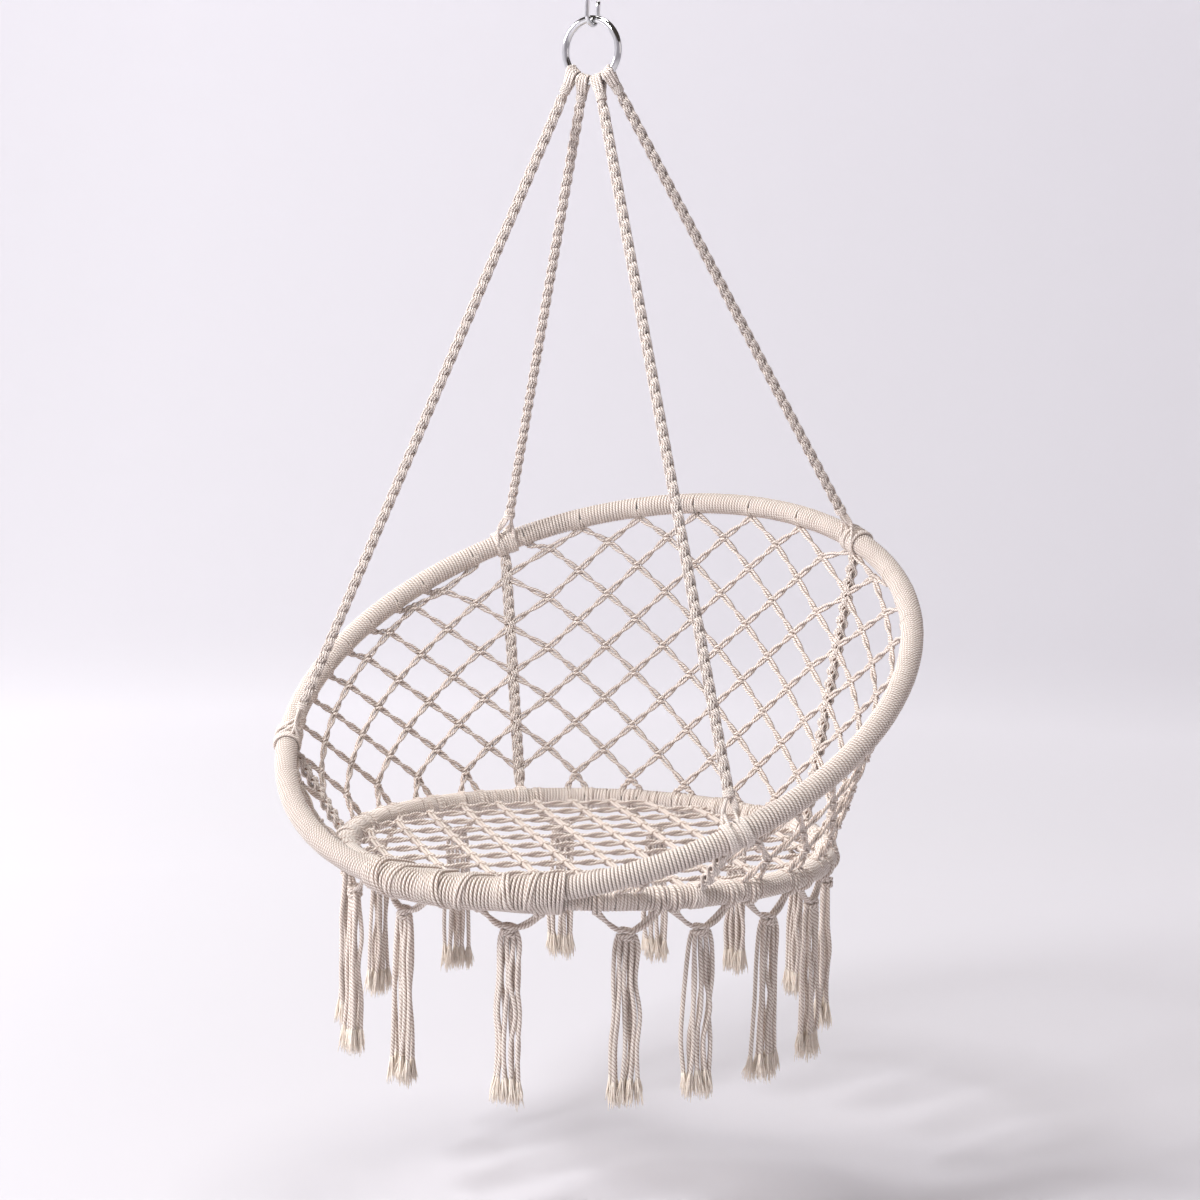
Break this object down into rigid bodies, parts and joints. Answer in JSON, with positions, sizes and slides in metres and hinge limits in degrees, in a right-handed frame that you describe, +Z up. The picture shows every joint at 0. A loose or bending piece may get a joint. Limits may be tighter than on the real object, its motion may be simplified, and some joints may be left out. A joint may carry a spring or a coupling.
{
  "type": "hammock chair",
  "caption": "Hanging macrame swing chair: corded seat hoop and larger tilted back hoop joined by knotted nets, hung on ropes from a steel ring and hook, with tassels.",
  "frame": {"origin": "inside top of the hook's upper bow, on the point that the chair hangs by", "axes": "+Z up; the seat's open front faces -Y; +X is the sitter's left and the viewer's right from the front"},
  "size_m": [0.7912, 0.6962, 1.2711],
  "materials": {
    "cotton": "natural ivory twisted cotton cord, matt",
    "cotton_binding": "natural ivory cotton cord in tight turns, matt",
    "chrome": "bright nickel-chrome plated wire",
    "hoop_steel": "plain drawn steel tube, hidden under the winding"
  },
  "bodies": {
    "hook": {"hanging_hook": "chrome"},
    "ring": {"suspension_ring": "chrome"},
    "back": {"ring_hitch_front_left": "cotton_binding", "whipping_front_left": "cotton_binding", "rope_front_left": "cotton", "hoop_hitch_front_left": "cotton_binding", "column_front_left": "cotton", "ring_hitch_rear_left": "cotton_binding", "whipping_rear_left": "cotton_binding", "rope_rear_left": "cotton", "hoop_hitch_rear_left": "cotton_binding", "column_rear_left": "cotton", "ring_hitch_rear_right": "cotton_binding", "whipping_rear_right": "cotton_binding", "rope_rear_right": "cotton", "hoop_hitch_rear_right": "cotton_binding", "column_rear_right": "cotton", "ring_hitch_front_right": "cotton_binding", "whipping_front_right": "cotton_binding", "rope_front_right": "cotton", "hoop_hitch_front_right": "cotton_binding", "column_front_right": "cotton", "back_hoop_tube": "hoop_steel", "back_hoop_winding_front": "cotton", "back_hoop_winding_right": "cotton", "back_hoop_winding_rear": "cotton", "back_hoop_winding_left": "cotton", "front_lashing": "cotton", "side_net_rear": "cotton", "side_net_left": "cotton", "side_net_right": "cotton", "side_net_front_left": "cotton", "side_net_front_right": "cotton"},
    "seat": {"seat_hoop_tube": "hoop_steel", "seat_hoop_winding_front": "cotton", "seat_hoop_winding_right": "cotton", "seat_hoop_winding_rear": "cotton", "seat_hoop_winding_left": "cotton", "seat_net": "cotton", "tassel_01": "cotton", "tassel_02": "cotton", "tassel_03": "cotton", "tassel_04": "cotton", "tassel_05": "cotton", "tassel_06": "cotton", "tassel_07": "cotton", "tassel_08": "cotton", "tassel_09": "cotton", "tassel_10": "cotton", "tassel_11": "cotton", "tassel_12": "cotton", "tassel_13": "cotton", "tassel_14": "cotton", "tassel_15": "cotton"}
  },
  "joints": [
    {"name": "ring_swing", "type": "hinge", "parent": "hook", "child": "ring", "pos_m": [0, 0, -0.0624], "axis": [1, 0, 0], "range_deg": [-25, 25]},
    {"name": "chair_sway", "type": "hinge", "parent": "ring", "child": "back", "pos_m": [0, 0, -0.09785], "axis": [0, 1, 0], "range_deg": [-20, 20]},
    {"name": "hoop_fold", "type": "hinge", "parent": "back", "child": "seat", "pos_m": [0, -0.2807, -1.02755], "axis": [1, 0, 0], "range_deg": [0, 29], "deforming": ["side_net_rear", "side_net_left", "side_net_right", "side_net_front_left", "side_net_front_right", "column_front_left", "column_rear_left", "column_rear_right", "column_front_right", "front_lashing"]}
  ]
}
